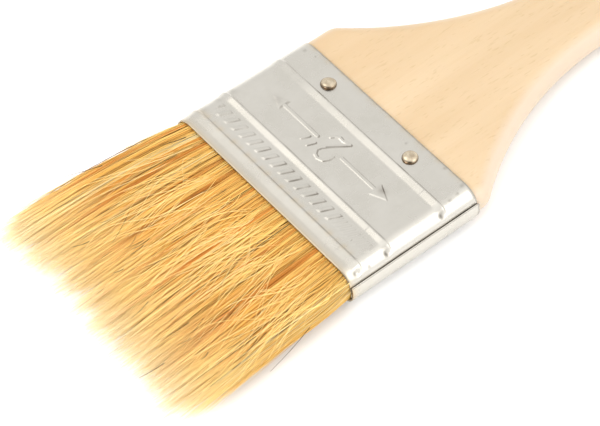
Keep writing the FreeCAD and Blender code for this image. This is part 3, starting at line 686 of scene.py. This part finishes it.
def build_nail(name, node, x, y, face, tilt):
    """A domed head, slightly flattened and tilted by the hammer, on its shank, with painted shade round the
    edge of the head and beneath it.
    """
    sides = NAIL_SIDES
    seat = MID_Z + face * (OUTER_RADIUS - NAIL_SEAT)
    turns = np.linspace(0, 2 * math.pi, sides, endpoint=False)
    falls = np.linspace(0.02, math.pi / 2, DOME_RINGS)
    profile = [(DOME_RADIUS * math.sin(a), DOME_RISE * math.cos(a) ** DOME_FLATNESS) for a in falls]
    profile += UNDER_HEAD
    points, shade_and_dirt = [], []
    for radius, height in profile:
        # Painted shade: a dark ring round the head's edge, thickest on one side, and dark under the head.
        lee = 0.5 + 0.5 * np.cos(turns - NAIL_SHADOW)
        edge = smooth_step(radius / DOME_RADIUS, 0.92 - 0.3 * lee, 1.03 - 0.1 * lee)
        shade_and_dirt.append(edge * (0.35 + 0.6 * lee) + (height < 0) * 0.4)
        wobble = 1 + 0.015 * np.sin(2 * turns + x) + 0.006 * np.sin(5 * turns + 2 * x)
        lean = radius * (tilt[0] * np.cos(turns) + tilt[1] * np.sin(turns))
        lift = height + lean * (height > HEAD_BOTTOM)
        points.append(np.stack([x + radius * wobble * np.cos(turns), y + radius * wobble * np.sin(turns),
                                seat + face * lift], axis=1))
    index = np.arange(len(profile) * sides).reshape(len(profile), sides)
    closed = np.concatenate([index, index[:, :1]], axis=1)
    quads = grid_quads(closed)
    if face > 0:
        quads = quads[:, ::-1]
    top, bottom = index[0], index[-1]
    caps = [(top[0], top[i], top[i + 1]) for i in range(1, sides - 1)]
    caps += [(bottom[0], bottom[i + 1], bottom[i]) for i in range(1, sides - 1)]
    piece = make_mesh(name, np.concatenate(points), quads, caps)
    add_attribute(piece, "shade_and_dirt", np.clip(np.concatenate(shade_and_dirt), 0, 1))
    finish_piece(piece, BRASS, "nail_brass", node)


def build_nails():
    """A pair through each face, at the two ends of that pair's box in the CAD."""
    places = (("front", NAIL_LOW, NAIL_HIGH, 1), ("back", BACK_NAIL_LOW, BACK_NAIL_HIGH, -1))
    tilts = iter(HAMMER_TILTS)
    for side, low, high, face in places:
        head = (high[1] - low[1]) / 2
        y = (low[1] + high[1]) / 2
        for number, x in enumerate((low[0] + head, high[0] - head), start=1):
            build_nail(f"{side}_nail_{number}", f"{side}_nails", x, y, face, next(tilts))


# ---------------------------------------------------------------- bristles

FREE = MOUTH_Y - TIP_Y
KNOT_HALF_WIDTH = HALF_WIDTH - GAUGE - 0.15
KNOT_HALF_HEIGHT = INNER_RADIUS - 0.15
TIP_HALF_WIDTH = BANK_HIGH[0] - 0.5
SKEW = 0.3                  # how far the tips sit to the right of the ferrule's middle
BANK_STEPS = 9              # points along each bristle outside the ferrule
TUFTS = 420
TOOTH_WIDTH = 1.5           # bristles this close together share one notch depth
TEETH = 90
MIDDLE_TOOTH = 40           # the tooth at X = 0
RUSTY_STREAKS = (-22.5, -18.0, -16.5, -11.5, -8.0, -2.5, 3.0, 9.5, 15.5)
STREAK_HALF_WIDTH = 0.35
STREAK_DEPTH = 2.2          # streaks only show in the hairs further than this from the middle
ROOT_HALF_WIDTH = 24.2
BRISTLE_RADII = (0.05, 0.085)
LONGEST_CUT = 20.0          # no bristle ends further than this short of the tips
CUT_SHAPE = 1.9             # gamma distribution of how far short of the tips the bristles end
CUT_SCALE = 3.5
TIPS_PAST = 1.1             # how far uncut bristles reach past the CAD's straight end at X = 0
TIPS_SLANT = 0.03           # how much further they reach per millimetre of X
FAR_CORNER = 2.6            # how much further they reach at the left corner
NOTCH_SPREAD = 1.3
NOTCH_WAVE = 0.7
WORN_DEPTH = 1.6            # a shallow hollow worn in the tips, round WORN_AT
WORN_AT = -9
WORN_WIDTH = 8
RIGHT_FLARE_CUT = 0.5       # the right half flares this much less, the left half a little more
LEFT_FLARE_CUT = -0.2
LEFT_BULGE = 0.5            # left of X = -15 the bank bulges halfway down, right of 18 nearer the mouth
RIGHT_BULGE = 0.5
TUFT_PULL = (0.1, 0.55)     # share of the way to its tuft that a bristle is drawn by the tip
TUFT_LEAN = 0.45            # spreads of the tufts' and the single bristles' sideways shapes
TUFT_SWEEP = 0.2
TUFT_RISE = 0.2
BOW = 0.16
DRIFT = 0.4
BANK_FALL = 0.45            # share by which a bristle nears the middle by the tip
SURFACE_FALL = 0.4          # the same for the front surface that the loose hairs lie on
MEAN_TONE = 0.45
TONE_SPREAD = 0.14
TUFT_TONE_SPREAD = 0.08
RUSTY_TUFT = 0.2            # how much darker a rusty tuft is, and their share
RUSTY_TUFTS = 0.05
STREAK_DARK = 0.5
DARK_SHARE = 0.006
FRONT_COUNT = 6600
BACK_COUNT = 5000
PIECES_PER_BANK = 2


def scatter_roots(count):
    """Root places across the front half of the ferrule's mouth, from the middle to the sheet."""
    x = rng.uniform(-KNOT_HALF_WIDTH, KNOT_HALF_WIDTH, count * 2)
    z = rng.uniform(0.05, KNOT_HALF_HEIGHT, count * 2)
    corner = KNOT_HALF_WIDTH - KNOT_HALF_HEIGHT
    inside = np.hypot(np.maximum(np.abs(x) - corner, 0), z) < KNOT_HALF_HEIGHT
    return x[inside][:count], z[inside][:count]


def tubes(lines, radii, sides, spin):
    """Points and quads of one thin tube along each line of points."""
    count, steps = lines.shape[:2]
    turns = spin[:, None, None] + np.linspace(0, 2 * math.pi, sides, endpoint=False)[None, None, :]
    around_x = np.cos(turns) * radii[:, :, None]
    around_z = np.sin(turns) * radii[:, :, None]
    points = np.repeat(lines[:, :, None, :], sides, axis=2)
    points[..., 0] += around_x
    points[..., 2] += around_z
    index = np.arange(count * steps * sides).reshape(count, steps, sides)
    index = np.concatenate([index, index[:, :, :1]], axis=2)
    quads = np.stack([index[:, :-1, :-1], index[:, :-1, 1:], index[:, 1:, 1:], index[:, 1:, :-1]], axis=-1)
    return points.reshape(-1, 3), quads.reshape(-1, 4)


def bristle_piece(name, node, lines, radii, tone, along, sides=3):
    """One node's worth of hairs, each with its tone and how far along the bank each point is."""
    points, quads = tubes(lines, radii, sides, rng.uniform(0, 2 * math.pi, len(lines)))
    piece = make_mesh(name, points, quads)
    add_attribute(piece, "tone", np.repeat(tone, lines.shape[1] * sides))
    add_attribute(piece, "along", np.repeat(along.ravel(), sides))
    finish_piece(piece, BRISTLE, "bristle", node)


def bank_lines(x0, z0, steps):
    """Centre lines of bristles from the setting out to the tips: flared, tufted and a little bowed."""
    count = len(x0)
    t = np.linspace(0, 1, steps)[None, :]
    tuft_x = rng.uniform(-KNOT_HALF_WIDTH, KNOT_HALF_WIDTH, TUFTS)
    tuft_z = rng.uniform(0, KNOT_HALF_HEIGHT, TUFTS)
    tuft = np.argmin((x0[:, None] - tuft_x) ** 2 + 2.0 * (z0[:, None] - tuft_z) ** 2, axis=1)
    pull = rng.uniform(*TUFT_PULL, TUFTS)[tuft][:, None]
    lean = rng.normal(0, TUFT_LEAN, TUFTS)[tuft][:, None]
    sweep = rng.normal(0, TUFT_SWEEP, TUFTS)[tuft][:, None]
    rise = rng.normal(0, TUFT_RISE, TUFTS)[tuft][:, None]
    flare_cut = np.where(x0 > 0, RIGHT_FLARE_CUT, LEFT_FLARE_CUT)
    flare = (TIP_HALF_WIDTH - KNOT_HALF_WIDTH - flare_cut) / KNOT_HALF_WIDTH
    bow = rng.normal(0, BOW, (count, 1))
    drift = rng.normal(0, DRIFT, (count, 1))
    x = x0[:, None] * (1 + flare[:, None] * t ** 0.95) + SKEW * t ** 1.2
    x = x - LEFT_BULGE * np.sin(math.pi * t ** 0.8) * (x0[:, None] < -15)
    x = x + RIGHT_BULGE * np.exp(-((t - 0.2) / 0.18) ** 2) * smooth_step(x0, 18, 24)[:, None]
    x = x + (tuft_x[tuft][:, None] - x0[:, None]) * pull * t ** 2
    x = x + lean * t ** 1.6 + (bow + sweep) * np.sin(math.pi * t) + drift * t ** 2
    z = z0[:, None] * (1 - BANK_FALL * t ** 1.3)
    z = z + (tuft_z[tuft][:, None] - z0[:, None]) * pull * 0.5 * t ** 1.5
    z = z + rise * t ** 1.5 + rng.normal(0, 0.2, (count, 1)) * t ** 2
    z = z + (0.12 + np.abs(rng.normal(0, 0.1, (count, 1)))) * np.sin(math.pi * t) * (z0[:, None] > 3.0)
    z = np.clip(z, -0.6, KNOT_HALF_HEIGHT + 0.5)
    tooth = np.round((x0 + rng.normal(0, 0.35, count)) / TOOTH_WIDTH).astype(int) + MIDDLE_TOOTH
    notch = rng.normal(0, NOTCH_SPREAD, TEETH)[tooth] + NOTCH_WAVE * np.sin(x0 * 0.42 + 1.0)
    short = rng.gamma(CUT_SHAPE, CUT_SCALE, count)
    worn = WORN_DEPTH * np.exp(-((x0 - WORN_AT) / WORN_WIDTH) ** 2)
    far_corner = FAR_CORNER * smooth_step(-x0, 16, 24)
    reach = FREE + TIPS_PAST + TIPS_SLANT * x0 - worn + far_corner + notch
    reach = reach + rng.normal(0, 0.4, count) - np.minimum(short, LONGEST_CUT)
    y = MOUTH_Y - reach[:, None] * t
    lines = np.stack([x, y, z], axis=2)
    root = lines[:, :1].copy()
    root[:, 0, 0] = np.clip(x0, -ROOT_HALF_WIDTH, ROOT_HALF_WIDTH)
    root[:, 0, 1] = ROOT_Y - 0.4
    root[:, 0, 2] = 1.0 + z0 * 0.65
    inside = lines[:, :1].copy()
    inside[:, 0, 1] = MOUTH_Y + 1.5
    taper = np.concatenate([np.zeros((count, 2)), np.broadcast_to(t, (count, steps))], axis=1)
    tuft_tone = rng.normal(0, TUFT_TONE_SPREAD, TUFTS) - RUSTY_TUFT * (rng.random(TUFTS) < RUSTY_TUFTS)
    tuft_tone = tuft_tone[tuft]
    streak = np.min(np.abs(x0[:, None] - np.array(RUSTY_STREAKS)), axis=1) < STREAK_HALF_WIDTH
    tuft_tone = tuft_tone - STREAK_DARK * (streak & (z0 > STREAK_DEPTH))
    return np.concatenate([root, inside, lines], axis=1), taper, tuft_tone


def build_bank(side, node, face, count, pieces):
    """One bank of bristle, on the front or the back of the spacer, shared out over some pieces."""
    x0, z0 = scatter_roots(count)
    lines, taper, tuft_tone = bank_lines(x0, z0, BANK_STEPS)
    along = np.clip((MOUTH_Y - lines[..., 1]) / FREE, 0, 1)
    lines[..., 2] = MID_Z + face * lines[..., 2]
    thick = rng.uniform(*BRISTLE_RADII, (len(x0), 1))
    radii = thick * (1 - 0.85 * taper ** 3)
    depth = z0 / KNOT_HALF_HEIGHT
    # Painted light: the hairs at the near edge get a paler tone.
    near_edge_light = 0.35 * smooth_step(x0, KNOT_HALF_WIDTH - 3, KNOT_HALF_WIDTH)
    far_half = 0.16 * smooth_step(-x0, 4, 20)
    # Painted shade: hairs deeper in the bank get a darker, more orange tone.
    tone = rng.normal(MEAN_TONE, TONE_SPREAD, len(x0)) + tuft_tone + 0.2 * (depth - 0.5)
    tone = tone + (near_edge_light + far_half)
    tone = np.clip(tone, 0.10, 1)
    dark = rng.random(len(x0)) < DARK_SHARE
    tone[dark] = rng.uniform(0, 0.05, dark.sum())
    for number, part in enumerate(np.array_split(rng.permutation(len(x0)), pieces), start=1):
        bristle_piece(f"{side}_bristles_{number}", node, lines[part], radii[part], tone[part], along[part])


STRAY_GROUPS = 72
STRAY_STEPS = 16
STRAY_RIGHT = 24            # strays start between this X and STRAY_WIDTH to its left
STRAY_WIDTH = 46            # most of them on the right
STRAY_LIMIT = 27            # how far to the right a stray may end, before its curl
STRAY_START = 22            # the strays start up to half this far from the mouth
STRAY_RUSTY = 0.05          # share of rusty ones
STRAY_LENGTHS = (8, 30)
RUSTY_TONES = (0.11, 0.2)
BLOND_TONES = (0.6, 0.88)


def build_strays():
    """Loose hairs in small groups that lie across the others on the front."""
    groups, steps = STRAY_GROUPS, STRAY_STEPS
    group = np.repeat(np.arange(groups), rng.integers(1, 6, groups))
    count = len(group)
    t = np.linspace(0, 1, steps)[None, :]
    x0 = STRAY_RIGHT - STRAY_WIDTH * rng.beta(1.0, 1.5, groups)[group] + rng.normal(0, 0.7, count)
    start = np.clip(rng.uniform(0.0, 0.5, groups)[group] + rng.normal(0, 0.04, count), 0, 1)[:, None]
    cross = (rng.normal(0, 3.4, groups)[group] + rng.normal(0, 0.8, count))[:, None]
    cross = np.minimum(cross, STRAY_LIMIT - 1.1 * x0[:, None])
    curl = (rng.normal(0, 1.1, groups)[group] + rng.normal(0, 0.4, count))[:, None]
    swing = np.sin(math.pi * t * rng.uniform(0.7, 2.2, groups)[group][:, None])
    reach = rng.uniform(*STRAY_LENGTHS, (count, 1)) * (1 - start * 0.4)
    begin = start * STRAY_START
    x = x0[:, None] * (1 + 0.1 * t) + SKEW * t + cross * t ** 1.3 + curl * swing
    y = MOUTH_Y - begin - reach * t
    height = KNOT_HALF_HEIGHT * (1 - SURFACE_FALL * ((begin + reach * t) / FREE) ** 1.3)
    z = height + 0.1 + rng.uniform(0.0, 0.35, (count, 1)) * np.sin(math.pi * t)
    z = z - 0.6 * (1 - t) ** 6 - 0.5 * t ** 8
    lines = np.stack([x, y, MID_Z + z], axis=2)
    # The loose hairs lie on top, so their 'along' starts high and little of the painted shade near the mouth
    # reaches them.
    along = np.broadcast_to(0.55 + 0.25 * t, (count, steps))
    radii = rng.uniform(*BRISTLE_RADII, (count, 1)) * (1 - 0.4 * t)
    rusty = rng.random(count) < STRAY_RUSTY
    tone = np.where(rusty, rng.uniform(*RUSTY_TONES, count), rng.uniform(*BLOND_TONES, count))
    bristle_piece("stray_bristles", "front_bristles", lines, radii, tone, along, sides=4)


# A few dark hairs: start and end X and Y, and height above the middle.
DARK_HAIRS = ((-24.5, -78.0, -27.9, -87.6, 3.4), (16.6, -95.5, 16.3, -100.8, 2.0),
              (20.0, -88.4, 20.5, -90.3, 2.6), (-3.6, -89.0, -4.0, -90.8, 2.8),
              (-12.5, -90.0, -13.4, -93.0, 2.6), (9.0, -75.0, 10.8, -79.0, 3.2),
              (-20.0, -62.0, -21.5, -67.0, 3.4), (22.0, -72.0, 23.6, -76.5, 3.0),
              (26.2, -70.5, 29.0, -81.8, 0.5))
DARK_STEPS = 8
SCATTERED = 34
PLACED_RADIUS = 0.08
SCATTERED_RADIUS = 0.055
DARK_TONE = 0.01


def build_dark_hairs():
    """The listed dark hairs, and some short random ones."""
    steps, scattered = DARK_STEPS, SCATTERED
    t = np.linspace(0, 1, steps)[None, :]
    x0 = rng.uniform(-20, 24, scattered)
    y0 = rng.uniform(-90, -63, scattered)
    length = rng.uniform(2.0, 7.0, scattered)
    spread = x0 * 0.12 / FREE + rng.normal(0, 0.22, scattered)
    height = KNOT_HALF_HEIGHT * (1 - SURFACE_FALL * ((MOUTH_Y - y0) / FREE) ** 1.3) - 0.1
    random_ends = np.stack([x0, y0, x0 + spread * length, y0 - length, height], axis=1)
    ends = np.concatenate([DARK_HAIRS, random_ends])
    x = ends[:, :1] + (ends[:, 2:3] - ends[:, :1]) * t + 0.25 * np.sin(math.pi * t)
    y = ends[:, 1:2] + (ends[:, 3:4] - ends[:, 1:2]) * t
    z = MID_Z + ends[:, 4:5] + 0.15 * np.sin(math.pi * t)
    placed = np.arange(len(ends)) < len(DARK_HAIRS)
    radii = np.where(placed, PLACED_RADIUS, SCATTERED_RADIUS)[:, None] * (1 - 0.6 * t)
    lines = np.stack([x, y, z], axis=2)
    along = np.zeros((len(ends), steps))
    bristle_piece("dark_hairs", "front_bristles", lines, radii, np.full(len(ends), DARK_TONE), along)


# ---------------------------------------------------------------- stage, light and camera

CAMERA_AZIMUTH = math.radians(50.38)
CAMERA_ELEVATION = math.radians(52.37)
CAMERA_DISTANCE = 457.1
CAMERA_TARGET = Vector((5.15, -55.35, 4.7))
LENS = 150.0
SURROUND_LIGHT = 1.5
# Darker parts of the studio: direction, full and faded half angles in degrees, share of light left.
SHADES = (((-0.70, 0.42, 0.55), 30, 48, 0.76), ((0.47, -0.39, 0.79), 8, 26, 0.15))
FLOOR_HALF = 3.0
# Name, place, what it is aimed at, size, power and colour of each softbox, in metres and watts.
SOFTBOXES = (("key", (-0.52, -0.30, 1.0), (0, -0.03, 0), 0.5, 1.15, (1.0, 0.965, 0.90)),
             ("front", (0.02, -0.30, 0.17), (0, -0.09, 0), 0.16, 0.5, (1.0, 0.98, 0.95)),
             ("side", (0.72, 0.42, 0.85), (0, -0.03, 0), 0.8, 3.3, (1.0, 0.99, 0.97)))


def build_camera():
    back = Vector((math.sin(CAMERA_AZIMUTH) * math.cos(CAMERA_ELEVATION),
                   -math.cos(CAMERA_AZIMUTH) * math.cos(CAMERA_ELEVATION), math.sin(CAMERA_ELEVATION)))
    data = bpy.data.cameras.new("camera")
    data.lens = LENS
    data.sensor_width = 36.0
    data.clip_start, data.clip_end = 0.01, 10.0
    camera = bpy.data.objects.new("camera", data)
    bpy.context.scene.collection.objects.link(camera)
    camera.location = (CAMERA_TARGET + back * CAMERA_DISTANCE) * MM
    camera.rotation_mode = "QUATERNION"
    camera.rotation_quaternion = (-back).to_track_quat("-Z", "Y")
    bpy.context.scene.camera = camera


def add_softbox(name, place, target, size, power, colour):
    data = bpy.data.lights.new(name, "AREA")
    data.size = size
    data.energy = power
    data.color = colour
    lamp = bpy.data.objects.new(name, data)
    bpy.context.scene.collection.objects.link(lamp)
    lamp.location = place
    lamp.rotation_mode = "QUATERNION"
    lamp.rotation_quaternion = (Vector(target) - Vector(place)).to_track_quat("-Z", "Y")


def build_world():
    """Even white surroundings, a little darker beyond the far side and dark where the camera stands."""
    world = bpy.data.worlds.new("studio")
    world.use_nodes = True
    tree = world.node_tree
    direction = tree.nodes.new("ShaderNodeTexCoord").outputs["Generated"]
    light = None
    for towards, core, edge, left in SHADES:
        facing = tree.nodes.new("ShaderNodeVectorMath")
        facing.operation = "DOT_PRODUCT"
        facing.inputs[1].default_value = Vector(towards).normalized()
        tree.links.new(direction, facing.inputs[0])
        shade = tree.nodes.new("ShaderNodeMapRange")
        shade.interpolation_type = "SMOOTHSTEP"
        tree.links.new(facing.outputs["Value"], shade.inputs["Value"])
        shade.inputs["From Min"].default_value = math.cos(math.radians(edge))
        shade.inputs["From Max"].default_value = math.cos(math.radians(core))
        shade.inputs["To Min"].default_value = 1.0
        shade.inputs["To Max"].default_value = left
        product = tree.nodes.new("ShaderNodeMath")
        product.operation = "MULTIPLY"
        tree.links.new(shade.outputs["Result"], product.inputs[0])
        product.inputs[1].default_value = SURROUND_LIGHT
        if light:
            tree.links.new(light, product.inputs[1])
        light = product.outputs[0]
    background = tree.nodes["Background"]
    background.inputs[0].default_value = (1, 1, 1, 1)
    tree.links.new(light, background.inputs[1])
    bpy.context.scene.world = world


def build_stage():
    side = FLOOR_HALF
    mesh = bpy.data.meshes.new("floor")
    corners = [(-side, -side, 0), (side, -side, 0), (side, side, 0), (-side, side, 0)]
    mesh.from_pydata(corners, [], [(0, 1, 2, 3)])
    floor = bpy.data.objects.new("floor", mesh)
    bpy.context.scene.collection.objects.link(floor)
    n = Nodes("pale_floor")
    n.surface.inputs["Base Color"].default_value = (0.95, 0.95, 0.95, 1)
    n.surface.inputs["Roughness"].default_value = 0.9
    floor.data.materials.append(n.material)
    build_world()
    for softbox in SOFTBOXES:
        add_softbox(*softbox)
    bpy.context.scene.view_settings.view_transform = "Standard"


# ---------------------------------------------------------------- the brush

def dress_cad_nodes():
    for node, material in (("handle", HANDLE_WOOD), ("spacer_plug", PLUG_WOOD), ("setting_cement", RESIN)):
        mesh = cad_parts[node].data
        mesh.materials.clear()
        mesh.materials.append(material)


dress_cad_nodes()
build_ferrule()
build_nails()
build_bank("front", "front_bristles", 1, FRONT_COUNT, PIECES_PER_BANK)
build_bank("back", "back_bristles", -1, BACK_COUNT, PIECES_PER_BANK)
build_strays()
build_dark_hairs()
build_camera()
build_stage()
